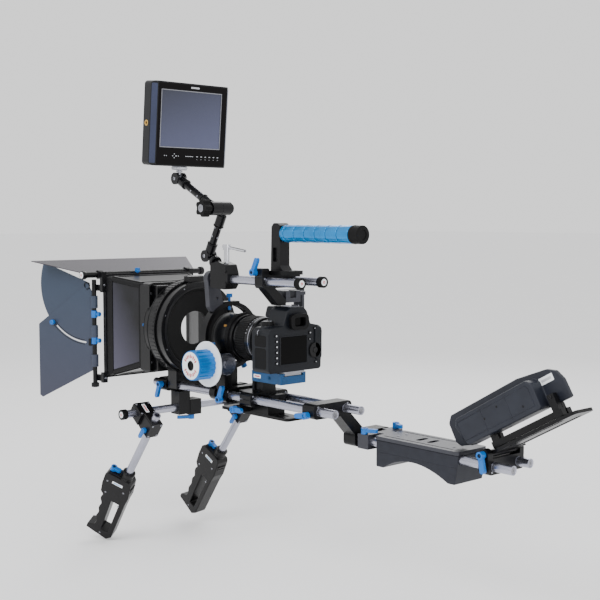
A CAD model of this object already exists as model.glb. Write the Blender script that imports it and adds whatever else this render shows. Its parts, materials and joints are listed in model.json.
"""Looks of the shoulder cinema rig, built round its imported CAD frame."""
import json
import math

import bmesh
import bpy
from mathutils import Matrix, Vector


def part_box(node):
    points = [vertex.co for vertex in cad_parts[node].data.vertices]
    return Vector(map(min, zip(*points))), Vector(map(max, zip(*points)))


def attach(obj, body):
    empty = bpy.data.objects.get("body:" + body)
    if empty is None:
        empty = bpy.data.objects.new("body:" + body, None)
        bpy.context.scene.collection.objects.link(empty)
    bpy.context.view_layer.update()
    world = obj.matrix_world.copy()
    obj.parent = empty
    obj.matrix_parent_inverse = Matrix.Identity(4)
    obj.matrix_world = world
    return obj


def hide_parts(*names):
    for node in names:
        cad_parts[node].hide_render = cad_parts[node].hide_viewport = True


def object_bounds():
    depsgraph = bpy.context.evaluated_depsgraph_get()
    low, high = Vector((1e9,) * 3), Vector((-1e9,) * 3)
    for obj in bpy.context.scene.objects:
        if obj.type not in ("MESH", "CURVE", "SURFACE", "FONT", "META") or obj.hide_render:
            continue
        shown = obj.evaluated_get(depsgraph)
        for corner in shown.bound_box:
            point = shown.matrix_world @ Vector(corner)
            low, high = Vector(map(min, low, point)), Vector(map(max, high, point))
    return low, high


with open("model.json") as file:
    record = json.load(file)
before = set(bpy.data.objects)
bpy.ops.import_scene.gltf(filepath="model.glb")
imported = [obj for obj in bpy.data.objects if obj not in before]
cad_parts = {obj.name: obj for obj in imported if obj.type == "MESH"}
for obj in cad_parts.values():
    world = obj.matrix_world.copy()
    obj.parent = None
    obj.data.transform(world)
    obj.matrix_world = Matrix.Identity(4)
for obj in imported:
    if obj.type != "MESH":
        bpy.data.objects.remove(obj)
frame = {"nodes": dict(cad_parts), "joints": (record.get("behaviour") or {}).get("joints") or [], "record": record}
cad_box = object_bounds()

NODES = frame["nodes"]
JOINTS = {joint["name"]: joint for joint in frame["joints"]}
RECORD = frame["record"]
BODY_OF = {node: body for body, members in RECORD["behaviour"]["bodies"].items() for node in members}
SLOT_OF = {part["node"]: part["material_slot"] for part in RECORD["subparts"]}
MM = 0.001
X = Vector((1, 0, 0))
Y = Vector((0, 1, 0))
Z = Vector((0, 0, 1))
SIDES = {1: "left", -1: "right"}


def limits(node):
    """Lowest and highest corner of a CAD node, in millimetres."""
    return [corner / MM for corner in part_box(node)]


def pivot_of(joint):
    """A joint's place, in millimetres."""
    return Vector(JOINTS[joint]["pos_m"]) / MM


def axis_of(joint):
    return Vector(JOINTS[joint]["axis"]).normalized()


# ---- camera ----------------------------------------------------------------------------------
CAMERA_AT = Vector((1.26075, 1.48934, 0.35025))
CAMERA_AZIMUTH = math.radians(137.86)
CAMERA_ELEVATION = math.radians(4.25)
camera_data = bpy.data.cameras.new("camera")
camera_data.lens = 66
camera_data.sensor_width = 36
camera_data.clip_start = 0.02
camera_data.clip_end = 60
camera = bpy.data.objects.new("camera", camera_data)
bpy.context.scene.collection.objects.link(camera)
back = Vector((math.sin(CAMERA_AZIMUTH) * math.cos(CAMERA_ELEVATION),
               -math.cos(CAMERA_AZIMUTH) * math.cos(CAMERA_ELEVATION), math.sin(CAMERA_ELEVATION)))
camera.location = CAMERA_AT
camera.rotation_mode = "QUATERNION"
camera.rotation_quaternion = (-back).to_track_quat("-Z", "Y")
bpy.context.scene.camera = camera


# ---- finishes --------------------------------------------------------------------------------
def tint(red, green, blue):
    """Linear colour of a display colour in 0 to 255."""
    levels = []
    for value in (red, green, blue):
        share = value / 255
        levels.append(share / 12.92 if share <= 0.04045 else ((share + 0.055) / 1.055) ** 2.4)
    return (*levels, 1.0)


def scaled(colour, factor):
    return (*(min(1.0, part * factor) for part in colour[:3]), 1.0)


class Nodes:
    """Short forms for wiring one material's node tree."""

    def __init__(self, name):
        self.material = bpy.data.materials.new(name)
        self.material.use_nodes = True
        self.tree = self.material.node_tree
        self.shader = self.tree.nodes["Principled BSDF"]
        self.place = self.add("ShaderNodeTexCoord").outputs["Object"]

    def add(self, kind, **values):
        node = self.tree.nodes.new(kind)
        for key, value in values.items():
            setattr(node, key, value)
        return node

    def fix(self, node, *numbers):
        """Sets sockets of a node from (name, value) pairs."""
        for key, value in numbers:
            node.inputs[key].default_value = value
        return node

    def link(self, source, target):
        self.tree.links.new(source, target)

    def noise(self, size, detail, stretch=None, seed=0.0):
        """Noise whose blotches are about size millimetres across."""
        node = self.fix(self.add("ShaderNodeTexNoise"), ("Scale", 1 / (size * MM)), ("Detail", detail))
        shift = self.fix(self.add("ShaderNodeMapping"), ("Location", (seed, seed, seed)),
                         ("Scale", stretch or (1, 1, 1)))
        self.link(self.place, shift.inputs["Vector"])
        self.link(shift.outputs["Vector"], node.inputs["Vector"])
        return node.outputs["Fac"]

    def ramp(self, value, low, high, start=0.0, end=1.0):
        node = self.fix(self.add("ShaderNodeMapRange"), ("From Min", low), ("From Max", high),
                        ("To Min", start), ("To Max", end))
        self.link(value, node.inputs["Value"])
        return node.outputs["Result"]

    def product(self, one, two):
        node = self.add("ShaderNodeMath", operation="MULTIPLY")
        self.link(one, node.inputs[0])
        self.link(two, node.inputs[1])
        return node.outputs["Value"]

    def mix(self, share, one, two):
        node = self.add("ShaderNodeMix", data_type="RGBA")
        self.link(share, node.inputs["Factor"])
        for key, value in ((6, one), (7, two)):
            if isinstance(value, tuple):
                node.inputs[key].default_value = value
            else:
                self.link(value, node.inputs[key])
        return node.outputs[2]


# A softened normal agrees this much with the face's own where the face is flat, and at a sharp corner.
FLAT_AGREES = 0.985
CORNER_AGREES = 0.80
RUB_SIZE = 3.0


def surface(name, colour, rough, metal, mottle, mottle_size, grain, grain_size, edge, wear=0.0, worn=None,
            stretch=None, specular=0.5, shade=None):
    """A procedural finish.  The sizes of the patches of tone, the grain and the softened edge are in
    millimetres, and colours are display colours.  wear is the share of the colour worn that shows on
    edges.  shade, if given, wires a colour from the nodes and stands in for the plain colour."""
    nodes = Nodes(name)
    shader = nodes.shader
    base = tint(*colour)
    patches = nodes.noise(mottle_size, 4.0)
    if shade:
        tone = nodes.mix(nodes.ramp(patches, 0.35, 0.65, 0.0, mottle), shade(nodes), scaled(base, 0.3))
    else:
        tone = nodes.mix(nodes.ramp(patches, 0.35, 0.65), scaled(base, 1 - mottle), scaled(base, 1 + mottle))
    fine = nodes.noise(grain_size, 2.0, stretch, seed=3.0)
    bevel = nodes.fix(nodes.add("ShaderNodeBevel", samples=4), ("Radius", edge * MM))
    if wear:
        geometry = nodes.add("ShaderNodeNewGeometry")
        turned = nodes.add("ShaderNodeVectorMath", operation="DOT_PRODUCT")
        nodes.link(bevel.outputs["Normal"], turned.inputs[0])
        nodes.link(geometry.outputs["Normal"], turned.inputs[1])
        corner = nodes.ramp(turned.outputs["Value"], FLAT_AGREES, CORNER_AGREES)
        rubbed = nodes.ramp(nodes.noise(RUB_SIZE, 5.0, seed=7.0), 0.42, 0.62, 0.0, wear)
        tone = nodes.mix(nodes.product(corner, rubbed), tone, tint(*worn))
    nodes.link(tone, shader.inputs["Base Color"])
    roughness = nodes.ramp(fine, 0.3, 0.7, max(0.03, rough - 0.06), min(1.0, rough + 0.08))
    nodes.link(roughness, shader.inputs["Roughness"])
    bump = nodes.fix(nodes.add("ShaderNodeBump"), ("Strength", grain),
                     ("Distance", 0.12 * MM * max(1.0, grain_size)))
    nodes.link(fine, bump.inputs["Height"])
    nodes.link(bevel.outputs["Normal"], bump.inputs["Normal"])
    nodes.link(bump.outputs["Normal"], shader.inputs["Normal"])
    nodes.fix(shader, ("Metallic", metal), ("Specular IOR Level", specular))
    return nodes.material


def slanted(start, end, first, second, direction):
    """Shade from one display colour to another between two places along a direction, in metres."""
    def wire(nodes):
        dot = nodes.add("ShaderNodeVectorMath", operation="DOT_PRODUCT")
        nodes.link(nodes.place, dot.inputs[0])
        dot.inputs[1].default_value = direction
        return nodes.mix(nodes.ramp(dot.outputs["Value"], start, end), tint(*first), tint(*second))
    return wire


LOOKS = (
    # name, colour, roughness, metal, patches' strength and size, grain's strength and size, edge, the rest
    ("rod", (168, 169, 182), 0.26, 0.95, 0.06, 30, 0.10, 0.35, 0.3, dict(stretch=(1, 0.04, 1))),
    ("cross_rod", (168, 169, 182), 0.26, 0.95, 0.06, 30, 0.10, 0.35, 0.3, dict(stretch=(0.04, 1, 1))),
    ("black", (11, 11, 13), 0.3, 0.1, 0.2, 18, 0.25, 0.4, 0.35,
     dict(wear=0.5, worn=(92, 92, 100), specular=0.22)),
    ("arm_black", (12, 12, 15), 0.22, 0.15, 0.2, 14, 0.12, 0.4, 0.35,
     dict(wear=0.6, worn=(120, 120, 128), specular=0.3)),
    ("plastic", (11, 11, 13), 0.4, 0.0, 0.15, 20, 0.5, 0.55, 0.4, dict(specular=0.22)),
    ("rubber", (7, 7, 8), 0.55, 0.0, 0.2, 12, 0.5, 0.5, 0.3, dict(specular=0.15)),
    ("camera", (12, 15, 21), 0.38, 0.0, 0.14, 16, 0.7, 0.7, 0.5, dict(specular=0.22)),
    ("leather", (14, 17, 22), 0.5, 0.0, 0.25, 9, 1.0, 1.3, 0.4, dict(specular=0.2)),
    ("lens", (9, 10, 13), 0.27, 0.0, 0.15, 18, 0.2, 0.4, 0.3, dict(specular=0.28)),
    ("matte_ring", (7, 7, 9), 0.22, 0.0, 0.2, 25, 0.15, 0.45, 0.4,
     dict(wear=0.3, worn=(80, 80, 90), specular=0.28)),
    ("matte_shell", (8, 8, 11), 0.34, 0.0, 0.2, 22, 0.3, 0.5, 0.4,
     dict(wear=0.4, worn=(85, 85, 96), specular=0.24)),
    ("blue", (0, 112, 188), 0.3, 0.35, 0.08, 20, 0.12, 0.35, 0.3, dict(wear=0.5, worn=(150, 205, 240))),
    ("blue_lever", (0, 100, 182), 0.34, 0.15, 0.10, 12, 0.3, 0.45, 0.4,
     dict(wear=0.5, worn=(130, 195, 240))),
    ("teal", (0, 66, 112), 0.3, 0.35, 0.12, 16, 0.12, 0.4, 0.35, dict(wear=1.0, worn=(80, 190, 235))),
    ("white", (236, 240, 243), 0.42, 0.0, 0.03, 20, 0.1, 0.6, 0.2, {}),
    ("red", (196, 26, 44), 0.5, 0.0, 0.05, 8, 0.1, 0.5, 0.1, {}),
    ("pale_blue", (70, 150, 215), 0.5, 0.0, 0.05, 8, 0.1, 0.5, 0.1, {}),
    ("chrome", (205, 206, 212), 0.14, 1.0, 0.06, 10, 0.08, 0.4, 0.25, {}),
    ("steel", (150, 151, 158), 0.25, 1.0, 0.1, 8, 0.12, 0.4, 0.2, {}),
    ("brass", (205, 168, 96), 0.25, 1.0, 0.1, 6, 0.15, 0.4, 0.2, {}),
    ("silver", (150, 150, 156), 0.3, 0.9, 0.06, 20, 0.3, 0.3, 0.3, dict(stretch=(0.05, 1, 1))),
    ("plate", (52, 53, 60), 0.36, 0.4, 0.12, 30, 0.3, 0.4, 0.4, dict(wear=0.5, worn=(120, 120, 130))),
    ("pad", (32, 34, 42), 0.5, 0.0, 0.12, 14, 0.7, 0.9, 0.6, dict(specular=0.25)),
    ("panel", (31, 34, 43), 0.42, 0.0, 0.12, 25, 0.45, 0.6, 0.5, dict(specular=0.28)),
    ("grip", (9, 8, 10), 0.33, 0.0, 0.18, 15, 0.45, 0.6, 0.4, dict(specular=0.28)),
    ("case", (16, 17, 20), 0.36, 0.0, 0.12, 25, 0.4, 0.5, 0.5, dict(specular=0.25)),
    ("bezel", (6, 4, 5), 0.14, 0.0, 0.1, 30, 0.03, 0.6, 0.3, dict(specular=0.12)),
    ("bevel_strip", (46, 52, 76), 0.3, 0.3, 0.1, 40, 0.1, 0.5, 0.3, {}),
    ("glass", (1, 1, 1), 0.08, 0.0, 0.1, 30, 0.0, 0.6, 0.2, dict(specular=0.08)),
    ("light_mark", (190, 192, 198), 0.4, 0.2, 0.06, 4, 0.1, 0.4, 0.1, {}),
    ("handle", (0, 120, 186), 0.27, 0.5, 0.07, 24, 0.10, 0.35, 0.3, dict(wear=0.35, worn=(120, 200, 240))),
    ("gold", (176, 132, 70), 0.35, 0.8, 0.1, 4, 0.1, 0.4, 0.1, {}),
    ("flag", (66, 80, 106), 0.42, 0.0, 0.10, 22, 0.25, 0.5, 0.25,
     dict(specular=0.4, shade=slanted(-0.02, 0.26, (54, 56, 72), (46, 60, 78), (0, 0, 1)))),
    ("top_flag", (96, 88, 104), 0.36, 0.0, 0.12, 22, 0.2, 0.5, 0.25,
     dict(specular=0.4, shade=slanted(-0.19, 0.19, (58, 53, 64), (42, 38, 48), (1, 0, 0)))),
    ("flank", (96, 98, 118), 0.28, 0.0, 0.10, 22, 0.12, 0.5, 0.25,
     dict(specular=0.4, shade=slanted(0.24, 0.42, (8, 8, 11), (98, 96, 118), (0.2, -1.0, -0.45)))),
    ("screen", (92, 100, 124), 0.24, 0.0, 0.04, 22, 0.02, 0.5, 0.25,
     dict(specular=0.4, shade=slanted(0.46, 0.62, (82, 86, 114), (44, 47, 60), (0.35, 0, 1)))),
)
FINISH = {name: surface(name, *numbers, **rest) for name, *numbers, rest in LOOKS}


# ---- mesh helpers ----------------------------------------------------------------------------
def place(origin, z_dir, x_dir=None):
    """Frame at a point in metres whose z runs along one direction and whose x is near another."""
    z = Vector(z_dir).normalized()
    hint = Vector(x_dir) if x_dir is not None else (X if abs(z.x) < 0.9 else Y)
    y = z.cross(hint).normalized()
    matrix = Matrix((y.cross(z), y, z)).transposed().to_4x4()
    matrix.translation = Vector(origin)
    return matrix


def stand(point, z_dir, x_dir=None):
    """The same, for a point in millimetres."""
    return place(Vector(point) * MM, z_dir, x_dir)


def moved(at, x=0.0, y=0.0, z=0.0):
    """The frame moved by millimetres along its own axes."""
    return at @ Matrix.Translation(Vector((x, y, z)) * MM)


def spot_of(at):
    """A frame's own point, in metres."""
    return at.translation.copy()


def outward_at(angle):
    """Direction away from an axis along Y, by its angle from X towards Z."""
    return Vector((math.cos(angle), 0, math.sin(angle)))


def spread(node, *axes, origin=Vector((0, 0, 0))):
    """Lowest and highest place of a CAD node along each axis, from an origin, in millimetres."""
    reach = []
    for axis in axes:
        along = [(vertex.co - origin).dot(axis) / MM for vertex in NODES[node].data.vertices]
        reach.append((min(along), max(along)))
    return reach


def rounded(width, height, radius, steps=4):
    """Outline of a rectangle with round corners, about its own middle."""
    points = []
    for corner, (sx, sy) in enumerate(((1, 1), (-1, 1), (-1, -1), (1, -1))):
        for step in range(steps + 1):
            turn = math.pi / 2 * (corner + step / steps)
            points.append((sx * (width / 2 - radius) + radius * math.cos(turn),
                           sy * (height / 2 - radius) + radius * math.sin(turn)))
    return points


def circle(radius, steps):
    return [(radius * math.cos(math.tau * n / steps), radius * math.sin(math.tau * n / steps))
            for n in range(steps)]


class Solid:
    """A piece's mesh, put together from turned and extruded shapes in millimetres."""

    def __init__(self):
        self.mesh = bmesh.new()

    def loop(self, at, points):
        return [self.mesh.verts.new(at @ (Vector(point) * MM)) for point in points]

    def skin(self, loops, closed):
        """Faces between loops of equal length, then end caps, or a last band back to the first."""
        pairs = list(zip(loops, loops[1:]))
        if closed:
            pairs.append((loops[-1], loops[0]))
        for one, two in pairs:
            for n in range(len(one)):
                m = (n + 1) % len(one)
                self.mesh.faces.new((one[n], one[m], two[m], two[n]))
        if not closed:
            self.mesh.faces.new(list(reversed(loops[0])))
            self.mesh.faces.new(loops[-1])
        return self

    def turn(self, at, profile, steps=36, closed=False, lobes=0, depth=0.0):
        """Turned shape from (radius, height) pairs; lobes ripple its rim by a depth."""
        loops = []
        for radius, height in profile:
            points = []
            for n in range(steps):
                angle = math.tau * n / steps
                reach = radius + (depth * math.cos(lobes * angle) if lobes else 0.0)
                points.append((reach * math.cos(angle), reach * math.sin(angle), height))
            loops.append(self.loop(at, points))
        return self.skin(loops, closed)

    def ring(self, at, outer, inner, low, high, steps):
        """Flat turned ring between two radii."""
        return self.turn(at, [(outer, low), (outer, high), (inner, high), (inner, low)], steps, closed=True)

    def prism(self, at, outline, low, high, taper=0.0):
        """Extruded outline; taper shrinks its top by a share."""
        foot = self.loop(at, [(x, y, low) for x, y in outline])
        head = self.loop(at, [(x * (1 - taper), y * (1 - taper), high) for x, y in outline])
        return self.skin([foot, head], False)

    def band(self, at, outer, inner, low, high):
        """Flat ring between two outlines with as many points each."""
        loops = [self.loop(at, [(x, y, level) for x, y in outline])
                 for outline, level in ((outer, low), (outer, high), (inner, high), (inner, low))]
        return self.skin(loops, True)

    def tube(self, points, radius, steps=10):
        """Round bar through points in metres."""
        loops = []
        for n, point in enumerate(points):
            before = points[max(0, n - 1)]
            after = points[min(len(points) - 1, n + 1)]
            at = place(point, after - before, Z if abs((after - before).normalized().z) < 0.9 else X)
            loops.append(self.loop(at, [(x, y, 0) for x, y in circle(radius, steps)]))
        return self.skin(loops, False)

    def screw(self, at, radius, height):
        """Button-head screw with a socket."""
        return self.turn(at, [(radius, -0.4), (radius, height * 0.55), (radius * 0.8, height),
                              (radius * 0.46, height), (radius * 0.42, height * 0.3)], 20)

    def piece(self, name, body, finish, slot, bevel, replaces=(), segments=2):
        bmesh.ops.recalc_face_normals(self.mesh, faces=self.mesh.faces[:])
        mesh = bpy.data.meshes.new(name)
        self.mesh.to_mesh(mesh)
        self.mesh.free()
        return finished(name, mesh, body, finish, bevel, replaces, segments)


def finished(name, mesh, body, finish, bevel, replaces, segments=2):
    """Makes an object of a mesh, with rounded edges, on its body."""
    mesh.materials.clear()
    mesh.materials.append(FINISH[finish])
    for polygon in mesh.polygons:
        polygon.use_smooth = True
    made = bpy.data.objects.new(name, mesh)
    bpy.context.scene.collection.objects.link(made)
    if bevel:
        rounding = made.modifiers.new("rounding", "BEVEL")
        rounding.width = bevel * MM
        rounding.segments = segments
        rounding.limit_method = "ANGLE"
        rounding.angle_limit = math.radians(35)
        rounding.harden_normals = True
    if replaces:
        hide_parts(*replaces)
    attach(made, body)
    return made


def softened(node, voxel, rounds, finish):
    """A CAD solid's shape with every corner rounded, as moulding leaves it.  It stands for the node."""
    draft = bpy.data.objects.new(node + "_draft", NODES[node].data.copy())
    bpy.context.scene.collection.objects.link(draft)
    remesh = draft.modifiers.new("voxels", "REMESH")
    remesh.mode = "VOXEL"
    remesh.voxel_size = voxel * MM
    relax = draft.modifiers.new("relax", "SMOOTH")
    relax.iterations = rounds
    relax.factor = 0.5
    depsgraph = bpy.context.evaluated_depsgraph_get()
    mesh = bpy.data.meshes.new_from_object(draft.evaluated_get(depsgraph))
    bpy.data.objects.remove(draft)
    return finished(node + "_moulded", mesh, BODY_OF[node], finish, 0, (node,))


groups = {}


def group(name, body, finish, slot=None, bevel=0.15):
    """A piece that gathers many small shapes of one finish on one body."""
    if name not in groups:
        groups[name] = (Solid(), body, finish, slot, bevel)
    return groups[name][0]


def blue_knob(solid, at, radius, height, shank):
    """Small knurled thumb knob on a short neck."""
    solid.turn(at, [(radius * 0.5, -shank), (radius * 0.5, 0), (radius, 0.4), (radius, height - 0.6),
                    (radius - 0.8, height), (radius * 0.45, height), (radius * 0.4, height - 1)], 48,
               lobes=12, depth=0.22)


def label(name, body, at, width, height, accent):
    """Plain pale label with a coloured bar, and no lettering."""
    Solid().prism(at, rounded(width, height, 0.8), -0.3, 0.35).piece(name, body, "white", None, 0.1)
    Solid().prism(moved(at, z=0.3), rounded(width * 0.72, height * 0.34, 0.5), -0.1, 0.2).piece(
        name + "_bar", body, accent, None, 0.05)


# ---- finishes of the CAD nodes ---------------------------------------------------------------
NODES_OF = {
    "rod": ("main_rods", "top_rods", "shoulder_rods"),
    "cross_rod": ("left_arm_rod", "right_arm_rod"),
    "rubber": ("end_caps", "elbow_knob", "matte_box_donut"),
    "silver": ("camera_plate",),
    "plate": ("shoulder_plate", "cage_side_arm", "cage_upright"),
    "teal": ("qr_block",),
    "blue": ("focus_wheel",),
    "blue_lever": ("blue_screws",),
    "white": ("marking_disk",),
    "chrome": ("tee_handle",),
    "arm_black": ("lower_arm", "upper_arm", "arm_stud"),
    "steel": ("monitor_mount", "drive_gear"),
    "case": ("monitor_case",),
    "screen": ("monitor_screen",),
    "matte_shell": ("matte_box_hood", "flag_post"),
    "matte_ring": ("matte_box_stage",),
    "top_flag": ("top_flag",),
    "flag": ("side_flag", "side_flag_leaf"),
    "lens": ("lens_barrel",),
    "plastic": ("focus_ring", "mode_dial", "rear_dial"),
}
FINISH_OF = {node: finish for finish, nodes in NODES_OF.items() for node in nodes}
for node, shown in NODES.items():
    look = "blue_lever" if node.startswith("lever_") else FINISH_OF.get(node, "black")
    shown.data.materials.clear()
    shown.data.materials.append(FINISH[look])


# ---- monitor ---------------------------------------------------------------------------------
ball = Vector(JOINTS["monitor_pan"]["pos_m"])
rise = Vector(JOINTS["monitor_pan"]["axis"])
facing = rise.cross(X)
(case_x0, case_x1), (case_y0, case_y1), (case_z0, case_z1) = spread(
    "monitor_case", X, facing, rise, origin=ball)
(glass_x0, glass_x1), (glass_z0, glass_z1) = spread("monitor_screen", X, rise, origin=ball)
case_mid_x = (case_x0 + case_x1) / 2
case_mid_z = (case_z0 + case_z1) / 2
BEVEL = 10.0


def on_case(x, y, z, normal=facing, x_dir=X):
    """Frame on the monitor, from millimetres along it from its ball joint."""
    return place(ball + (X * x + facing * y + rise * z) * MM, normal, x_dir)


def outline_within(x0, x1, z0, z1, inset_x, inset_z, radius):
    """Rounded outline on the face, set in from limits.  Its y runs down, so heights change sign."""
    width = x1 - x0 - 2 * inset_x
    height = z1 - z0 - 2 * inset_z
    return [(x + (x0 + x1) / 2, y - (z0 + z1) / 2) for x, y in rounded(width, height, radius)]


face = on_case(0, case_y1, 0)
case_limits = (case_x0, case_x1, case_z0, case_z1)
glass_limits = (glass_x0, glass_x1, glass_z0, glass_z1)
Solid().band(face, outline_within(*case_limits, BEVEL + 0.6, 2.5, 2),
             outline_within(*glass_limits, -0.6, -0.6, 0.8), -0.3, 0.5).piece(
    "monitor_bezel", "monitor", "bezel", "monitor_shell", 0.3)
Solid().band(face, outline_within(*glass_limits, -0.5, -0.5, 0.7),
             outline_within(*glass_limits, 1.0, 1.0, 0.4), -1.2, 0.2).piece(
    "monitor_screen_rim", "monitor", "steel", None, 0.15)
for side, edge_x in ((1, case_x1), (-1, case_x0)):
    slope = (X * side + facing).normalized()
    strip = on_case(edge_x - side * BEVEL / 2, case_y1 - BEVEL / 2, case_mid_z, slope, rise)
    Solid().prism(strip, rounded(case_z1 - case_z0 - 9, BEVEL * 1.414 - 3, 2), -0.2, 0.5).piece(
        "monitor_bevel_" + SIDES[side], "monitor", "bevel_strip", None, 0.3)
keys = group("monitor_keys", "monitor", "light_mark", None, 0.1)
KEY_LINE = -(case_z0 + 19)


def key_mark(inset, width, height, radius, down=0.0, thick=0.4):
    """Small pale mark on the key line, inset from the case's edge on the left."""
    keys.prism(moved(face, case_x1 - inset, KEY_LINE + down, 0.4), rounded(width, height, radius), 0, thick)


for x, y in ((-3.5, 0), (0, -3.5), (0, 3.5), (3.5, 0)):
    key_mark(50 - x, 1.6, 1.6, 0.5, y)
for n in range(4):
    key_mark(28 + n * 4.4 + (18 if n > 1 else 0), 1.7, 1.4, 0.5)
for n in range(7):
    key_mark(76 + n * 2.6, 1.9, 1.2, 0.3, thick=0.3)
for n in range(6):
    key_mark(102 + n * 9.6, 3.4, 1.5, 0.5)
    key_mark(102 + n * 9.6, 1.1, 1.1, 0.4, 5, 0.25)
Solid().prism(moved(face, case_mid_x - 3, -(case_z1 - 7.5), 0.4), rounded(19, 3, 0.8), 0, 0.4).piece(
    "monitor_plain_badge", "monitor", "light_mark", None, 0.15)
insert = on_case(case_x1, case_y0 + BEVEL, case_mid_z, X, Y)
Solid().turn(insert, [(5.4, -0.3), (5.4, 0.5), (4.6, 0.9), (3.0, 0.9), (2.6, 0.3), (2.6, -4), (5.4, -4)],
             32, closed=True).piece("monitor_insert", "monitor", "brass", None, 0.15)
back_face = on_case(case_mid_x, case_y0, case_mid_z, -facing, X)
vents = group("monitor_vents", "monitor", "rubber", None, 0.2)
for n in range(9):
    vents.prism(moved(back_face, 0, -58 + n * 3.2, -0.3), rounded(96, 1.4, 0.6), 0, 0.7)
battery_plate = Solid().prism(moved(back_face, 0, 8), rounded(88, 62, 4), -2.9, 0.4, 0.02)
for rail_x in (-30, 30):
    battery_plate.prism(moved(back_face, rail_x, 8), rounded(8, 50, 2), 0.4, 1.6)
battery_plate.piece("monitor_battery_plate", "monitor", "plastic", "monitor_shell", 0.5)
case_screws = group("monitor_screws", "monitor", "steel", None, 0.1)
for sx in (-1, 1):
    for sy in (-1, 1):
        case_screws.screw(moved(back_face, sx * 80, sy * 68), 2.2, 1.0)
mount_ring = on_case(0, 0, case_z0 - 3.5, rise, X)
Solid().turn(mount_ring, [(14.6, -1.6), (14.9, 0), (14.6, 1.6), (13, 1.6), (13, -1.6)], 60, closed=True,
             lobes=30, depth=0.25).piece("monitor_lock_ring", "monitor_foot", "light_mark", None, 0.1)

# ---- jointed arm -----------------------------------------------------------------------------
low_ball = Vector(JOINTS["lower_arm_tilt"]["pos_m"])
elbow = Vector(JOINTS["elbow_bend"]["pos_m"])
upper_elbow = Vector((ball.x, elbow.y, elbow.z))
END_BOLT_REACH = 10.5
TUBE_SCREW_REACH = 6.9
for name, start, end, body in (("lower", low_ball, elbow, "lower_link"),
                               ("upper", ball, upper_elbow, "upper_link")):
    aim = (end - start).normalized()
    length = (end - start).length / MM
    flat = aim.cross(X).normalized()
    bolts = Solid()
    for side in (1, -1):
        bolts.screw(place(start + X * side * END_BOLT_REACH * MM, X * side, aim), 3.4, 1.4)
    for share in (0.42, 0.60):
        middle = start + aim * length * share * MM
        for side in (1, -1):
            bolts.screw(place(middle + X * side * TUBE_SCREW_REACH * MM, X * side, aim), 2.0, 0.9)
            bolts.screw(place(middle + flat * side * TUBE_SCREW_REACH * MM, flat * side, aim), 1.6, 0.8)
    bolts.piece(name + "_arm_screws", body, "steel", None, 0.1)
    rings = Solid()
    for along in (26, length - 36):
        rings.turn(place(start + aim * along * MM, aim, X),
                   [(9.3, -1), (9.9, -0.6), (9.9, 0.6), (9.3, 1)], 36)
    rings.piece(name + "_arm_collars", body, "arm_black", None, 0.2)
knob_x = spread("elbow_knob", X)[0][1]
knob_at = place(Vector((knob_x * MM, elbow.y, elbow.z)), X, Z)
Solid().turn(knob_at, [(7, -0.5), (7, 0.6), (5.5, 1.2), (2.6, 1.2), (2.4, 0.2)], 30).piece(
    "elbow_knob_boss", "knob", "steel", None, 0.2)
stud_axis = Vector(JOINTS["stud_pan"]["axis"])
Solid().turn(place(low_ball + stud_axis * 28 * MM, stud_axis, X),
             [(11.4, -2.6), (11.8, 0), (11.4, 2.6), (10, 2.6), (10, -2.6)], 72, closed=True,
             lobes=24, depth=0.35).piece("stud_lock_ring", "stud", "arm_black", None, 0.15)

# ---- top handle sleeve -----------------------------------------------------------------------
sleeve_lo, sleeve_hi = limits("handle_grip")
sleeve_x = (sleeve_lo.x + sleeve_hi.x) / 2
sleeve_z = (sleeve_lo.z + sleeve_hi.z) / 2
sleeve_r = (sleeve_hi.z - sleeve_lo.z) / 2
sleeve_end = sleeve_hi.y
SLEEVE_FRONT = 72.0
SLEEVE_FOOT = 60.5
SEGMENTS = 6
FLATS = 10
STEPS = 120
segment = (sleeve_end - SLEEVE_FRONT - 10) / SEGMENTS
groove_places = [SLEEVE_FRONT + 9 + n * segment for n in range(SEGMENTS)]
sleeve = Solid()
sleeve_at = stand((sleeve_x, 0, sleeve_z), Y)


def sleeve_loop(y, groove, zigzag=0.0):
    """Loop of the sleeve: flats round its rim, a groove depth, and a zigzag along its length."""
    points = []
    for n in range(STEPS):
        angle = math.tau * n / STEPS
        wave = abs(math.sin(FLATS * angle / 2))
        reach = sleeve_r * (1 - 0.028 * (1 - wave)) - groove
        points.append((reach * math.cos(angle), reach * math.sin(angle), y + zigzag * (wave - 0.5)))
    return sleeve.loop(sleeve_at, points)


sections = [(SLEEVE_FOOT, sleeve_r - 6), (SLEEVE_FRONT - 1.4, sleeve_r - 6), (SLEEVE_FRONT - 1.4, 1.8),
            (SLEEVE_FRONT, 0.6)]
for start in groove_places:
    sections += [(start - 2.2, 0.0, 0.6), (start - 0.9, 0.2, 1.0), (start - 0.6, 1.5, 1.0),
                 (start + 0.6, 1.5, 1.0), (start + 0.9, 0.2, 1.0), (start + 2.2, 0.0, 0.6)]
sections += [(sleeve_end - 2.2, 0.0), (sleeve_end - 0.4, 0.4), (sleeve_end - 0.1, 1.2)]
sleeve.skin([sleeve_loop(*section) for section in sections], False).piece(
    "handle_sleeve", "rig", "handle", "blue_anodised", 0, ("handle_grip",))
grooves = Solid()
for start in groove_places:
    grooves.turn(moved(sleeve_at, z=start), [(sleeve_r - 1.25, -0.55), (sleeve_r - 1.25, 0.55)], 60)
grooves.piece("handle_sleeve_grooves", "rig", "rubber", None, 0)
caps_lo, caps_hi = limits("end_caps")
cap_at = stand((sleeve_x, caps_hi.y, sleeve_z), Y)
Solid().turn(cap_at, [(14.6, -0.8), (14.2, 0.1), (12.6, 0.5), (9.0, 0.4), (8.4, -0.4), (8.4, -4)], 48).turn(
    moved(cap_at, z=-16), [(15.2, -1.4), (15.4, 0), (15.2, 1.4)], 96, lobes=32, depth=0.2).piece(
    "handle_cap_rings", "rig", "rubber", None, 0.2)
steel = group("rig_steel", "rig", "steel")
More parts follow.
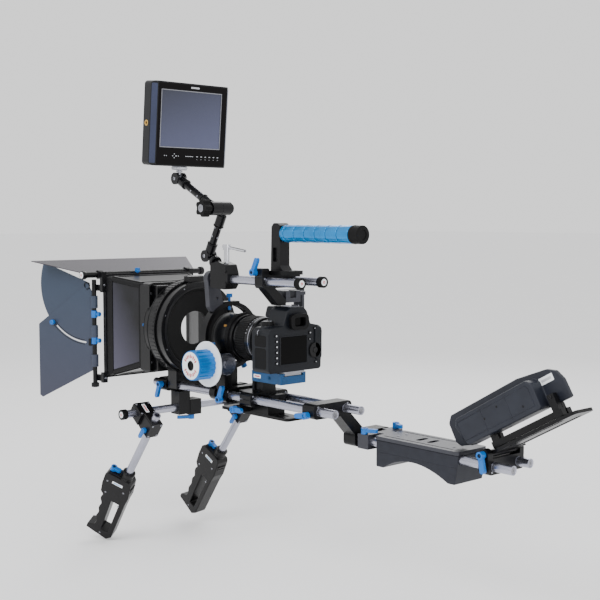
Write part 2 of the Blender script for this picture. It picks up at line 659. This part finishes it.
steel.screw(moved(cap_at, z=-9.5), 5.5, 2.4)

# ---- soft and moulded bodies -----------------------------------------------------------------
softened("camera_body", 0.9, 5, "camera")
softened("left_grip", 0.8, 4, "grip")
softened("right_grip", 0.8, 4, "grip")
softened("back_panel", 1.0, 4, "panel")
pad = softened("shoulder_pad", 1.2, 5, "pad")

# ---- camera details --------------------------------------------------------------------------
body_lo, body_hi = limits("camera_body")
rear_lo, rear_hi = limits("rear_dial")


def on_back(x, z, lift=0.0):
    """Frame on the camera's back: local x runs along -X, local y runs up."""
    return stand((x, body_hi.y + lift, z), Y, -X)


LCD_WIDTH = 60.0
LCD_HEIGHT = 47.0
lcd = on_back(7.0, 124.5)
Solid().prism(lcd, rounded(LCD_WIDTH - 1.0, LCD_HEIGHT - 1.0, 1.2), -1.8, -0.2).piece(
    "camera_display", "rig", "glass", "camera_shell", 0.25)
Solid().band(lcd, rounded(LCD_WIDTH + 6, LCD_HEIGHT + 5, 3), rounded(LCD_WIDTH, LCD_HEIGHT, 1.4),
             -0.6, 0.7).piece("camera_display_frame", "rig", "camera", "camera_shell", 0.35)
eye = on_back(-1, 173)
Solid().band(eye, rounded(38, 25, 8), rounded(25, 14.5, 3.5), -3, 7.5).band(
    moved(eye, z=5.5), rounded(41, 28, 9), rounded(25.5, 15, 4), 0, 3).piece(
    "camera_eyecup", "rig", "rubber", "camera_shell", 1.1, (), 4)
Solid().prism(eye, rounded(25, 14.5, 3), -2.5, 1.0).piece(
    "camera_eyepiece_glass", "rig", "glass", "camera_shell", 0.3)
buttons = group("camera_buttons", "rig", "plastic", "camera_shell", 0.3)
LAST_BUTTON_SHIFT = 1.2
button_rims = group("camera_button_rims", "rig", "light_mark", None, 0.12)
for n in range(6):
    at = on_back(46.5 + (LAST_BUTTON_SHIFT if n == 5 else 0), 104 + n * 9.4)
    buttons.turn(at, [(2.7, -0.5), (2.7, 1.1), (1.9, 1.6)], 24)
    button_rims.turn(at, [(1.5, 1.4), (1.5, 1.75), (1.1, 1.85)], 20)
for x, z, radius in ((-30, 152, 3.4), (-41, 159, 2.6), (-50, 157, 2.6), (-29, 141, 2.2), (-44, 100, 2.4)):
    at = on_back(x, z)
    buttons.turn(at, [(radius, -0.5), (radius, 1.2), (radius * 0.7, 1.8)], 24)
    button_rims.turn(at, [(radius * 0.35, 1.6), (radius * 0.35, 1.95), (radius * 0.2, 2.0)], 16)
dial_at = on_back((rear_lo.x + rear_hi.x) / 2, (rear_lo.z + rear_hi.z) / 2)
Solid().ring(dial_at, 14.6, 13.6, -0.6, 0.5, 48).piece("camera_dial_well", "rig", "case", None, 0.2)
Solid().turn(moved(dial_at, z=0.4), [(4.9, 1.3), (4.9, 2.2), (4.0, 2.9), (2.4, 2.6)], 32).piece(
    "camera_dial_key", "dial_rear", "plastic", "black_plastic", 0.2)
Solid().prism(on_back(-49, 133), rounded(17, 62, 7), -2, 2.6, 0.08).piece(
    "camera_thumb_rest", "rig", "leather", "camera_shell", 1.2, (), 4)
CAMERA_MID_Y = 66
for n, (z, height) in enumerate(((112, 36), (142, 20))):
    Solid().prism(stand((body_hi.x, CAMERA_MID_Y, z), X), rounded(30, height, 4), -2.4, 0.3).piece(
        f"camera_port_cover_{n + 1}", "rig", "rubber", "camera_shell", 0.6, (), 3)
shoe_at = stand((-1, 72, body_hi.z), Z)
shoe = Solid().prism(shoe_at, rounded(21, 19, 1), -1.2, 0.6)
for rail_x in (-9.3, 9.3):
    shoe.prism(moved(shoe_at, rail_x), rounded(2.2, 18, 0.4), 0.4, 2.8)
shoe.piece("camera_shoe", "rig", "steel", None, 0.2)
SHOULDER_SLOPE = Vector((-0.12, 0, 1))
RELEASE_SLOPE = Vector((0, -0.5, 1))
Solid().prism(stand((-42, CAMERA_MID_Y, 165), SHOULDER_SLOPE, X), rounded(26, 30, 3), -3, 0.6).piece(
    "camera_top_display", "rig", "glass", "camera_shell", 0.4)
Solid().turn(stand((-47, 26, 161), RELEASE_SLOPE, X),
             [(7, -1), (7, 1.6), (5, 2.6), (4.4, 1.9), (3.8, 3.2), (2.6, 3.4)], 32).piece(
    "camera_release", "rig", "plastic", "camera_shell", 0.3)
MODE_X = 44
MODE_Y = 62
mode_top = limits("mode_dial")[1].z
Solid().turn(stand((MODE_X, MODE_Y, mode_top), Z), [(8.6, -0.3), (8.6, 0.5), (7.8, 0.8)], 48).piece(
    "mode_dial_face", "dial_top", "lens", "black_plastic", 0.15)
ticks = Solid()
TICKS = 12
for n in range(TICKS):
    angle = math.tau * n / TICKS
    out = Vector((math.cos(angle), math.sin(angle), 0))
    ticks.prism(stand(Vector((MODE_X, MODE_Y, mode_top + 0.8)) + out * 6, Z, out),
                rounded(2.2, 0.6, 0.2), -0.2, 0.15)
ticks.piece("mode_dial_ticks", "dial_top", "light_mark", None, 0)
Solid().turn(on_back(-54, 157, 0.3), [(1.6, -0.4), (1.6, 0.5), (1.1, 0.8)], 16).piece(
    "camera_blue_mark", "rig", "blue", None, 0.1)
STRAP_Y = 62
STRAP_Z = 156
for side, x in ((1, body_hi.x), (-1, body_lo.x)):
    turns = [math.tau * n / 20 for n in range(21)]
    ring = [Vector((x + 3.2 * math.cos(turn) * side, STRAP_Y + 0.6 * math.sin(turn),
                    STRAP_Z + 4.2 * math.sin(turn))) * MM for turn in turns]
    Solid().tube(ring, 0.8).piece("camera_strap_ring_" + SIDES[side], "rig", "steel", None, 0)

# ---- lens details ----------------------------------------------------------------------------
optic = pivot_of("focus_ring_turn")


def on_lens(y):
    """Frame on the lens axis, looking back along Y."""
    return stand((optic.x, y, optic.z), Y)


def off_lens(y, reach, degrees):
    """Frame on the lens barrel's side, at a place along it and a distance from its axis."""
    out = outward_at(math.radians(degrees))
    return stand(Vector((optic.x, y, optic.z)) + out * reach, out, Y)


ZOOM_RING_Y = -33
TRIM_RING_Y = 1
FRONT_RIM_Y = -97
MARKS_Y = -5.5
Solid().turn(on_lens(ZOOM_RING_Y), [(39.2, -1), (40.6, 0), (40.6, 25), (39.2, 26)], 240, lobes=60,
             depth=0.35).piece("lens_zoom_ring", "rig", "rubber", None, 0.15)
Solid().turn(on_lens(TRIM_RING_Y), [(38.9, 0), (39.8, 0.3), (39.8, 2.2), (38.9, 2.4), (37, 2.4), (37, 0)],
             96, closed=True).piece("lens_trim_ring", "rig", "steel", None, 0.15)
Solid().turn(on_lens(FRONT_RIM_Y), [(41.9, -1.0), (42.0, 0), (41.9, 3), (41, 3), (41, -1.0)], 96,
             closed=True).piece("lens_front_rim", "rig", "plastic", None, 0.2)
marks = group("lens_marks", "rig", "light_mark", None, 0.05)
for n in range(14):
    at = off_lens(MARKS_Y, 39.5 if n % 2 else 39.4, 20 + n * 9)
    marks.prism(at, rounded(3.2 if n % 3 == 0 else 1.6, 0.7, 0.2), -0.3, 0.2)
Solid().prism(off_lens(-66, 41.6, 32), rounded(7, 4.2, 0.6), -1.2, 0.35).piece(
    "lens_plain_badge", "rig", "gold", None, 0.1)
Solid().prism(off_lens(3.0, 37.4, 58), rounded(8, 20, 1.5), -2, 0.6).piece(
    "lens_scale_window", "rig", "glass", None, 0.3)

# ---- follow focus ----------------------------------------------------------------------------
wheel = pivot_of("focus_wheel_turn")
wheel_at = stand((limits("focus_wheel")[1].x, wheel.y, wheel.z), X)
Solid().turn(wheel_at, [(24.6, -0.3), (24.6, 0.5), (24.2, 0.8), (9.6, 0.8), (9.2, 0.5), (9.2, -0.3)], 72,
             closed=True).piece("focus_wheel_face", "hand_wheel", "white", "white_disk", 0.1)
Solid().turn(wheel_at, [(26.2, -2), (26.4, -0.6), (25.8, 0.5), (24.8, 0.5), (24.8, -2)], 72,
             closed=True).piece("focus_wheel_rim", "hand_wheel", "blue", "blue_anodised", 0.1)
Solid().turn(wheel_at, [(9.1, -0.8), (9.1, 0.6), (8.3, 1.0), (7.0, 0.8), (5.4, -3.2), (5.0, -9)],
             48).piece("focus_wheel_socket", "hand_wheel", "rubber", None, 0.2)
DASH_RADIUS = 17
for name, middle in (("upper", 90), ("lower", 270)):
    dashes = Solid()
    for n in range(9):
        angle = math.radians(middle + (n - 4) * 15)
        spot = (math.cos(angle), math.sin(angle))
        at = moved(wheel_at, DASH_RADIUS * spot[0], DASH_RADIUS * spot[1], 0.8)
        turned = place(at.translation, X, at.to_3x3() @ Vector((*spot, 0)))
        dashes.prism(turned, rounded(6.6 if n % 2 == 0 else 4.4, 2.5, 0.5), -0.1, 0.15)
    dashes.piece("focus_wheel_scale_" + name, "hand_wheel", "red", None, 0)
Solid().ring(stand((limits("marking_disk")[0].x, wheel.y, wheel.z), -X), 40.6, 8, -0.1, 0.4, 72).piece(
    "marking_disk_back", "hand_wheel", "silver", None, 0.1)
gearbox_front = limits("gearbox")[0].y
GEARBOX_FACE_X = 60
GEARBOX_MID_X = 41
for y in (6, 25):
    for dz in (-9, 9):
        steel.screw(stand((GEARBOX_FACE_X, gearbox_front + y, wheel.z + dz), X), 1.9, 0.9)
for dx in (-14, 14):
    steel.screw(stand((GEARBOX_MID_X + dx, gearbox_front, wheel.z), -Y), 2.2, 1.0)

# ---- matte box -------------------------------------------------------------------------------
stage_hi = limits("matte_box_stage")[1]
donut_lo, donut_hi = limits("matte_box_donut")
RING_Z = (donut_lo.z + donut_hi.z) / 2
NECK_Y = limits("matte_box_hood")[1].y
MOUTH_Y = NECK_Y - 77
MOUTH = {"x": 100.0, "z0": 41.0, "z1": 238.0}
NECK = {"x": 67.0, "z0": 65.0, "z1": 225.0}


def hood_point(corner_x, corner_z, along):
    """Point on the hood's skin: signs pick the corner, along runs from mouth (0) to neck (1)."""
    x, low, high = (MOUTH[key] + (NECK[key] - MOUTH[key]) * along for key in ("x", "z0", "z1"))
    return Vector((corner_x * x, MOUTH_Y + (NECK_Y - MOUTH_Y) * along,
                   (low + high) / 2 + corner_z * (high - low) / 2))


def hood_patch(solid, corners, sink, rise_by):
    """Thin plate over four points of the skin, raised off it."""
    normal = (corners[1] - corners[0]).cross(corners[3] - corners[0]).normalized()
    centre = sum(corners, Vector()) / 4
    if normal.dot(centre - Vector((0, centre.y, RING_Z))) < 0:
        normal = -normal
    loops = [[solid.mesh.verts.new((point + normal * level) * MM) for point in corners]
             for level in (sink, rise_by)]
    solid.skin(loops, False)


for name, one, two, look in (("left", (1, -1), (1, 1), "flank"), ("right", (-1, -1), (-1, 1), "flank"),
                             ("top", (-1, 1), (1, 1), "matte_shell"),
                             ("bottom", (-1, -1), (1, -1), "matte_shell")):
    corner = [hood_point(*one, 0.13), hood_point(*one, 0.93), hood_point(*two, 0.93),
              hood_point(*two, 0.13)]
    middle = sum(corner, Vector()) / 4
    inward_at = [(middle - point).normalized() for point in corner]
    sheet = Solid()
    hood_patch(sheet, [point + inward * 11 for point, inward in zip(corner, inward_at)], -0.3, 0.5)
    sheet.piece("hood_flank_" + name, "rig", look, "matte_box_shell", 0.2)
    ribs = Solid()
    for n in range(4):
        m = (n + 1) % 4
        hood_patch(ribs, [corner[n] + inward_at[n] * 2, corner[m] + inward_at[m] * 2,
                          corner[m] + inward_at[m] * 9, corner[n] + inward_at[n] * 9], -0.6, 1.8)
    ribs.piece("hood_ribs_" + name, "rig", "matte_ring", "matte_box_shell", 0.5)

STAGE_Y = -265
CORNER_Y = -248
SIDE_FACE_X = 73
STAGE_BACK_Y = -254
HOOD_FRAME_Y = -357
HOOD_KNOB_AT = (25, -361.5, 243)
covers = Solid()
for side in (-1, 1):
    covers.prism(stand((side * 72, STAGE_Y, RING_Z), X * side), rounded(32, 164, 3), -1, 2.2)
    for lean in (-1, 1):
        covers.prism(stand((side * 58, CORNER_Y, RING_Z + lean * 65), X * side), rounded(28, 34, 3),
                     -20, 8)
for lift in (-1, 1):
    covers.prism(stand((0, STAGE_Y, RING_Z + lift * 82), Z * lift), rounded(144, 30, 3), -1, 2)
covers.piece("stage_covers", "rig", "matte_ring", "matte_box_shell", 0.6)


def on_ring(y):
    """Frame on the matte box's own axis, looking back along Y."""
    return stand((0, y, RING_Z), Y)


rim = Solid()
for back_by, radius in ((0, 88), (20, 91), (42, 91.3), (64, 84)):
    rim.turn(on_ring(stage_hi.y - back_by),
             [(radius - 1.6, -1.2), (radius + 0.5, -0.8), (radius + 0.7, 0), (radius + 0.2, 0.6),
              (radius - 1.6, 0.8)], 120, closed=True)
rim.piece("ring_rims", "rig", "matte_ring", "matte_box_shell", 0.15)
ring_face = Solid().ring(on_ring(stage_hi.y), 86.5, 77.5, -0.4, 0.4, 120)
ring_face.turn(on_ring(stage_hi.y),
               [(80.5, 0.2), (80, 1.6), (77.5, 2.2), (76.4, 1.6), (76.2, -3), (80.5, -3)], 120, closed=True)
ring_face.piece("ring_face", "rig", "matte_shell", "matte_box_shell", 0.3)
KNURLS = 72
knurl = Solid()
for n in range(KNURLS):
    out = outward_at(math.tau * n / KNURLS)
    knurl.prism(stand(Vector((0, stage_hi.y - 31, RING_Z)) + out * 91, out, Y), rounded(15, 3.0, 1.2, 2),
                -0.5, 0.7)
knurl.piece("ring_knurl", "rig", "matte_ring", "matte_box_shell", 0.2)
DONUT_FACE_Y = -208
DONUT_INNER = 35
DONUT_OUTER = 72
DONUT_DEPTH = 11
pleats = Solid()
for radius in (44, 54, 64):
    depth = -(radius - DONUT_INNER) / (DONUT_OUTER - DONUT_INNER) * DONUT_DEPTH
    pleats.turn(on_ring(DONUT_FACE_Y - depth + 0.2),
                [(radius - 0.8, -0.6), (radius, 0.5), (radius + 0.8, -0.6)], 96, closed=True)
pleats.piece("donut_pleats", "rig", "rubber", None, 0.15)
blue = group("rig_blue_knobs", "rig", "blue_lever", "blue_lever", 0.3)
for y in (-251, -263):
    blue_knob(blue, stand((SIDE_FACE_X + 1.5, y, 147), X), 3.2, 4.5, 3)
blue_knob(blue, stand(HOOD_KNOB_AT, Z), 5, 8.5, 4)
latch = group("stage_latches", "rig", "matte_ring", "matte_box_shell", 0.4)
for z in (110, 128, 146, 166):
    latch.prism(stand((SIDE_FACE_X, -258, z), X), rounded(20, 9, 2), -1, 2.4, 0.05)
latch.prism(stand((0, -256, stage_hi.z - 20), Z), rounded(30, 22, 3), -1, 3)
stage_screws = group("stage_screws", "rig", "steel", None, 0.1)
for sx in (-1, 1):
    for z in (75, 207):
        stage_screws.screw(stand((sx * 66, STAGE_BACK_Y, z), Y), 2.4, 1.1)
    for z in (37, 220):
        stage_screws.screw(stand((sx * 105, HOOD_FRAME_Y, z), Y), 2.2, 1.0)
for degrees in range(20, 380, 45):
    out = outward_at(math.radians(degrees))
    stage_screws.screw(stand(Vector((0, stage_hi.y + 0.4, RING_Z)) + out * 83.6, Y), 1.3, 0.5)

# ---- flags -----------------------------------------------------------------------------------
FLAG_ROD_END = 146
FLAG_COVER_END = 137
fold_at = pivot_of("top_flag_fold")
flag_lo, flag_hi = limits("top_flag")
flag_run = Vector((0, flag_lo.y - fold_at.y, flag_hi.z - fold_at.z)).normalized()
flag_up = X.cross(flag_run).normalized()
if flag_up.z < 0:
    flag_up = -flag_up


def on_flag_rod(x, z_dir):
    return stand((x, fold_at.y, fold_at.z), z_dir, Z)


for side, side_name in SIDES.items():
    tip = on_flag_rod(side * FLAG_ROD_END, X * side)
    Solid().turn(tip, [(6.3, -0.4), (6.3, 0.35), (5.6, 0.6)], 36).piece(
        "flag_rod_disc_" + side_name, "top_flag", "white", "white_disk", 0.1)
    Solid().ring(tip, 2.3, 1.0, 0.4, 0.8, 24).piece(
        "flag_rod_mark_" + side_name, "top_flag", "red", None, 0.05)
rod_cover = Solid()
for start, end in ((-FLAG_COVER_END, -110.6), (-99.4, 99.4), (110.6, FLAG_COVER_END)):
    rod_cover.turn(on_flag_rod(start, X),
                   [(5.4, 0), (5.75, 0.4), (5.75, end - start - 0.4), (5.4, end - start)], 40)
for side in (-1, 1):
    rod_cover.turn(on_flag_rod(side * (FLAG_COVER_END + 1), X * side),
                   [(8.0, -0.2), (8.4, 0.4), (8.4, 7.4), (7.4, 8.2)], 60, lobes=20, depth=0.15)
rod_cover.piece("top_flag_rod", "top_flag", "matte_ring", "matte_box_shell", 0.1)
stiffener = Solid()
for x in (-92, -30, 30, 92):
    tab_at = Vector((x, fold_at.y, fold_at.z)) + flag_run * 9 - flag_up * 1.2
    stiffener.prism(stand(tab_at, flag_up, flag_run), rounded(16, 12, 2), -0.6, 3.2)
stiffener.piece("top_flag_tabs", "top_flag", "matte_shell", "flag_sheet", 0.3)

post = pivot_of("side_flag_swing")
pivot = pivot_of("flag_leaf_turn")
inward = axis_of("flag_leaf_turn")
pivot_reach = Vector((pivot.x - post.x, pivot.y - post.y, 0))
outward = pivot_reach.normalized()
SLOT_R = 113.0


def on_flag(u, z, lift=0.0):
    """Frame on the side flag's inner face: u runs out from the post, and z is a height."""
    spot = Vector((post.x, post.y, z)) + outward * u + inward * lift
    return stand(spot, inward, outward)


def round_pivot(radius, degrees, lift):
    """The same, from the leaf's pivot, at a radius and an angle up from the way out."""
    angle = math.radians(degrees)
    return on_flag(pivot_reach.length + radius * math.cos(angle), pivot.z + radius * math.sin(angle), lift)


lip = Solid()
for radius in (SLOT_R - 4.2, SLOT_R + 4.2):
    lip.tube([spot_of(round_pivot(radius, -86 + 42 * n / 24, -0.75)) for n in range(25)], 0.55, 8)
lip.piece("flag_slot_lip_outer", "side_flag", "matte_shell", None, 0)
Solid().prism(on_flag(10.5, pivot.z - SLOT_R + 1, -0.8), rounded(7, 14, 1.5), -1.2, 0.2).piece(
    "flag_lock_plate", "side_flag", "matte_shell", None, 0.3)
coil = [spot_of(round_pivot(6.0 + n * 0.05, -40 + n * 13, -1.9)) for n in range(26)]
Solid().tube(coil, 0.9, 8).piece("flag_pivot_spring", "side_flag", "black", None, 0)
Solid().screw(round_pivot(0, 0, 3.5), 3.2, 1.8).piece(
    "flag_pivot_screw", "side_flag", "arm_black", None, 0.15)
leaf_knob = Solid()
blue_knob(leaf_knob, place(spot_of(round_pivot(SLOT_R, -42, -3.0)), -inward, Z), 5, 6.5, 4.2)
leaf_knob.piece("flag_leaf_knob", "flag_leaf", "blue_lever", "blue_lever", 0.3)
hinge_knobs = Solid()
for z in (110, 162):
    out = Vector((-0.35, 1, 0)).normalized()
    blue_knob(hinge_knobs, stand(Vector((post.x, post.y, z)) + out * 8, out, Z), 4.6, 6.0, 7.0)
    hinge_knobs.prism(stand((post.x, post.y, z), Z), circle(6.2, 24), -7, 7)
hinge_knobs.piece("flag_hinge_knobs", "side_flag", "blue_lever", "blue_lever", 0.3)
post_screws = group("post_screws", "rig", "steel", None, 0.1)
for z in (32, 40, 210, 218):
    post_screws.screw(stand((104.3, post.y + 4, z), Y), 1.7, 0.8)
Solid().turn(stand((post.x, post.y, limits("flag_post")[0].z), Z),
             [(6.2, -0.6), (7.4, 0.2), (7.6, 4), (7.4, 7.6), (6.0, 8.2)], 60, lobes=20, depth=0.2).piece(
    "flag_post_foot", "rig", "matte_shell", "matte_box_shell", 0.2)

# ---- caps and rod ends -----------------------------------------------------------------------
ROD_R = 7.5
bar = pivot_of("left_arm_swing")
top_lo, top_hi = limits("top_rods")
top_z = (top_lo.z + top_hi.z) / 2
discs = group("cap_discs", "rig", "white", "white_disk", 0.1)
dots = group("cap_marks", "rig", "red", None, 0.05)
for at in (stand((caps_hi.x, bar.y, bar.z), X, Z), stand((caps_lo.x, bar.y, bar.z), -X, Z),
           stand((top_hi.x - ROD_R, top_hi.y + 4, top_z), Y, Z),
           stand((top_lo.x + ROD_R, top_hi.y - 6, top_z), Y, Z)):
    discs.turn(at, [(5.9, -0.8), (5.9, -0.15), (5.4, 0.1)], 36)
    dots.ring(at, 2.5, 1.2, 0.0, 0.3, 24)
rod_faces = group("rod_end_faces", "rig", "silver", "satin_rod", 0.2)
main_hi = limits("main_rods")[1]
shoulder_lo, shoulder_hi = limits("shoulder_rods")
shoulder_z = (shoulder_lo.z + shoulder_hi.z) / 2
for point in ((30, main_hi.y, main_hi.z - ROD_R), (-30, main_hi.y, main_hi.z - ROD_R),
              (shoulder_hi.x - ROD_R, shoulder_hi.y, shoulder_z),
              (shoulder_lo.x + ROD_R, shoulder_hi.y - 13, shoulder_z)):
    rod_faces.turn(stand(point, Y), [(5.2, -2.2), (5.2, -0.9), (4.6, -0.6), (1.8, -0.6), (1.5, -1.6)], 32)

# ---- handle arms and grips -------------------------------------------------------------------
down = axis_of("left_grip_turn")
behind = X.cross(down).normalized()
ARM_OFFSET = 38.0
CLAMP_FACE = 13
for side in ("left", "right"):
    arm = side + "_arm"
    root = pivot_of(side + "_grip_turn")
    cross = Vector((root.x, bar.y, bar.z))
    clamp_screws = Solid()
    for dx in (-13.5, 13.5):
        for lift in (-9, 15):
            clamp_screws.screw(stand(cross + X * dx - down * CLAMP_FACE + behind * lift, -down, behind),
                               2.1, 1.2)
    for dy in (-13, 13):
        for dx in (9, -9):
            clamp_screws.screw(stand(cross + behind * (ARM_OFFSET + 12) + down * dy + X * dx, behind, X),
                               2.1, 1.2)
    clamp_screws.piece(side + "_clamp_screws", arm, "steel", None, 0.1)
    label(side + "_clamp_label", arm, stand(cross - down * CLAMP_FACE + behind * 3, -down, behind), 22, 7,
          "red")
    clamp_knob = Solid()
    rod_side = cross + behind * (ARM_OFFSET + 2)
    blue_knob(clamp_knob, stand(rod_side + down * 6 + X * 13, X, down), 5, 7, 3)
    blue_knob(clamp_knob, stand(cross + behind * 19 + down * 14 - X * 10, down, X), 4.2, 6, 3)
    clamp_knob.prism(stand(rod_side + down * 14 + X * 18.5, X, down), rounded(20, 7, 3), -2, 2.5)
    clamp_knob.piece(side + "_clamp_knob", arm, "blue_lever", "blue_lever", 0.3)

    # The grip's own directions: across it, along it, and out of its flat side.
    grip_y = -axis_of(side + "_grip_lever_turn")
    grip_x = (pivot_of(side + "_grip_lever_turn") - root + grip_y * 6).normalized()
    grip_z = grip_x.cross(grip_y)

    def on_grip(gx, gy, gz, normal, x_dir):
        return stand(root + grip_x * gx + grip_y * gy + grip_z * gz, normal, x_dir)

    grip_body = side + "_handgrip"
    label(side + "_grip_label", grip_body, on_grip(9, 9, 14, grip_z, grip_x), 22, 5.4, "pale_blue")
    head = Solid()
    head.prism(on_grip(16, -6, 0, -grip_y, grip_x), rounded(38, 22, 4), -1, 1.8, 0.04)
    for n in range(5):
        head.prism(on_grip(-19.2 + n * 0.2, 12 + n * 6.5, 0, -grip_x, grip_y),
                   rounded(3.0, 20, 1.2), -1, 1.0)
    head.piece(side + "_grip_head", grip_body, "grip", SLOT_OF[side + "_grip"], 0.5, (), 3)
    grip_screws = Solid()
    for gx, gy in ((30, 12), (-8, 22), (26, 40), (8, 143), (-8, 60)):
        for flat_side in (1, -1):
            grip_screws.screw(on_grip(gx, gy, flat_side * 13.7, grip_z * flat_side, grip_x), 1.9, 0.7)
    grip_screws.piece(side + "_grip_screws", grip_body, "steel", None, 0.1)
    collars = Solid()
    for along in (-20, -10, 0):
        collars.turn(stand(root + down * along, down, X),
                     [(11.6, -1.4), (12.6, -1.0), (12.6, 1.0), (11.6, 1.4), (9, 1.4), (9, -1.4)], 48,
                     closed=True)
    collars.piece(side + "_grip_collars", grip_body, "grip", None, 0.2)

LEVER_HUB = 8.0
for name, joint in JOINTS.items():
    if name.endswith("_lever_turn"):
        axis = axis_of(name)
        at = place(Vector(joint["pos_m"]) + axis * LEVER_HUB * MM, axis)
        Solid().screw(at, 2.7, 3.0).piece(name.replace("_turn", "_screw"), joint["child"], "arm_black", None,
                                          0.15)

# ---- quick release and back support ----------------------------------------------------------
qr_lo, qr_hi = limits("qr_block")
label("qr_label", "rig", stand((qr_hi.x, qr_lo.y + 16, (qr_lo.z + qr_hi.z) / 2), X), 19, 6.2, "red")
blue_knob(group("qr_lock", "rig", "teal", "blue_anodised", 0.2),
          stand((qr_hi.x, qr_lo.y + 48, qr_lo.z + 9), X), 2.8, 1.6, 1)
steel.screw(stand((0, 66, limits("camera_plate")[1].z - 3.8), -Z), 5, 1.4)

back_hinge = pivot_of("back_support_tilt")
TILT = math.radians(29)
along_back = Vector((0, math.cos(TILT), math.sin(TILT)))
off_back = Vector((0, -math.sin(TILT), math.cos(TILT)))
SUPPORT_X = -84.0
PANEL_HALF = 24


def on_support(along, off, x, normal, x_dir):
    """Frame on the tilted back support, from its hinge: along it, off it, and sideways."""
    spot = Vector((SUPPORT_X + x, back_hinge.y, back_hinge.z)) + along_back * along + off_back * off
    return stand(spot, normal, x_dir)


label("back_label", "back_support", on_support(136, 64, 0.2, X, along_back), 26, 11, "light_mark")
Solid().prism(on_support(94, -0.6, 19, off_back, along_back), rounded(108, 6.2, 3), -1, 1.4).piece(
    "back_frame_inlay", "back_support", "silver", None, 0.3)
body_outline = [(-34, 33), (-34, 64), (112, 66), (116, 60), (116, 33)]
seam_lines = [(one, two, PANEL_HALF) for one, two in zip(body_outline, body_outline[1:] + body_outline[:1])]
seam_lines += [((along, 30), (along, 68), PANEL_HALF - 0.1) for along in (18, 70)]
seams = Solid()
for one, two, x in seam_lines:
    seams.tube([spot_of(on_support(*end, x, X, along_back)) for end in (one, two)], 0.5, 8)
seams.piece("back_panel_seams", "back_support", "panel", None, 0)
support_screws = Solid()
for along in (14, 140):
    for x in (10, -4):
        support_screws.screw(on_support(along, 14.5, x, off_back, along_back), 2.4, 1.2)
for along, off in ((20, 50), (50, 58), (96, 40)):
    support_screws.screw(on_support(along, off, PANEL_HALF, X, along_back), 1.7, 0.6)
support_screws.screw(on_support(140, 36, 14, X, along_back), 3.0, 1.4)
support_screws.piece("back_support_screws", "back_support", "arm_black", None, 0.1)

# ---- shoulder pad's seam and the clamps' screws ----------------------------------------------
pad_lo, pad_hi = limits("shoulder_pad")
pad_mid_x = (pad_lo.x + pad_hi.x) / 2
PARTING_Z = -40.0
seam = Solid()
for x in (pad_hi.x - 0.3, pad_lo.x + 0.3):
    seam.tube([Vector((x, pad_lo.y + 4 + (pad_hi.y - pad_lo.y - 8) * n / 40, PARTING_Z)) * MM
               for n in range(41)], 0.7, 8)
seam.piece("pad_parting_line", "rig", "pad", None, 0)
ROD_LEVEL = 31
SHOULDER_LEVEL = -27
PLATE_TOP = -13.3
MAIN_CLAMPS_Y = (-239, -56, 15)
OFFSET_CLAMP_Y = 178
REAR_CLAMP_Y = 464
TOP_BRIDGE_Y = 62
TOP_BRIDGE_Z = 247
CAGE_FACE_X = -79
CAGE_SCREWS_Z = (89, 121, 153, 185, 213)
for y in (252, 372):
    for dx in (-10.8, 10.8):
        steel.screw(stand((pad_mid_x + dx, y, PLATE_TOP), Z), 2.3, 0.9)
for x in (-38, 38):
    for y in MAIN_CLAMPS_Y:
        steel.screw(stand((x, y, ROD_LEVEL + 7), Y), 1.8, 0.8)
for x in (-34, 34):
    steel.screw(stand((x, OFFSET_CLAMP_Y, ROD_LEVEL + 8), Y), 1.9, 0.9)
for x in (-132, -60):
    steel.screw(stand((x, OFFSET_CLAMP_Y, SHOULDER_LEVEL + 8), Y), 1.9, 0.9)
    steel.screw(stand((x, REAR_CLAMP_Y, SHOULDER_LEVEL - 8), Y), 1.9, 0.9)
for x in (-28, 50):
    steel.screw(stand((x, TOP_BRIDGE_Y, TOP_BRIDGE_Z), Y), 1.9, 0.9)
for z in CAGE_SCREWS_Z:
    steel.screw(stand((CAGE_FACE_X, 11, z), X), 1.4, 0.6)

for name, (solid, *rest) in groups.items():
    solid.piece(name, *rest)

# ---- floor and light -------------------------------------------------------------------------
FLOOR_REACH = 40.0
floor_z = cad_box[0].z - 0.002
floor_mesh = bpy.data.meshes.new("floor")
floor_mesh.from_pydata([(x * FLOOR_REACH, y * FLOOR_REACH, floor_z)
                        for x, y in ((-1, -1), (1, -1), (1, 1), (-1, 1))], [], [(0, 1, 2, 3)])
floor = bpy.data.objects.new("floor", floor_mesh)
bpy.context.scene.collection.objects.link(floor)
floor_look = Nodes("floor")
floor_tone = floor_look.mix(floor_look.noise(400, 2.0), (0.93, 0.93, 0.94, 1), (0.96, 0.96, 0.96, 1))
floor_look.link(floor_tone, floor_look.shader.inputs["Base Color"])
floor_look.fix(floor_look.shader, ("Roughness", 0.9), ("Specular IOR Level", 0.1))
floor_mesh.materials.append(floor_look.material)

world = bpy.data.worlds.new("studio")
world.use_nodes = True
floor_look.fix(world.node_tree.nodes["Background"], ("Color", (1.0, 1.0, 1.0, 1)), ("Strength", 1.25))
bpy.context.scene.world = world


def softbox(name, at, aim, size, power):
    data = bpy.data.lights.new(name, "AREA")
    data.shape = "SQUARE"
    data.size = size
    data.energy = power
    lamp = bpy.data.objects.new(name, data)
    lamp.location = at
    lamp.rotation_mode = "QUATERNION"
    lamp.rotation_quaternion = (Vector(aim) - Vector(at)).to_track_quat("-Z", "Y")
    bpy.context.scene.collection.objects.link(lamp)


middle = (cad_box[0] + cad_box[1]) / 2
softbox("key", (1.9, 0.2, 1.9), middle, 1.4, 36)
softbox("fill", (0.4, 2.4, 0.9), middle, 1.6, 16)
softbox("rim", (-1.8, -1.2, 1.6), middle, 1.4, 20)
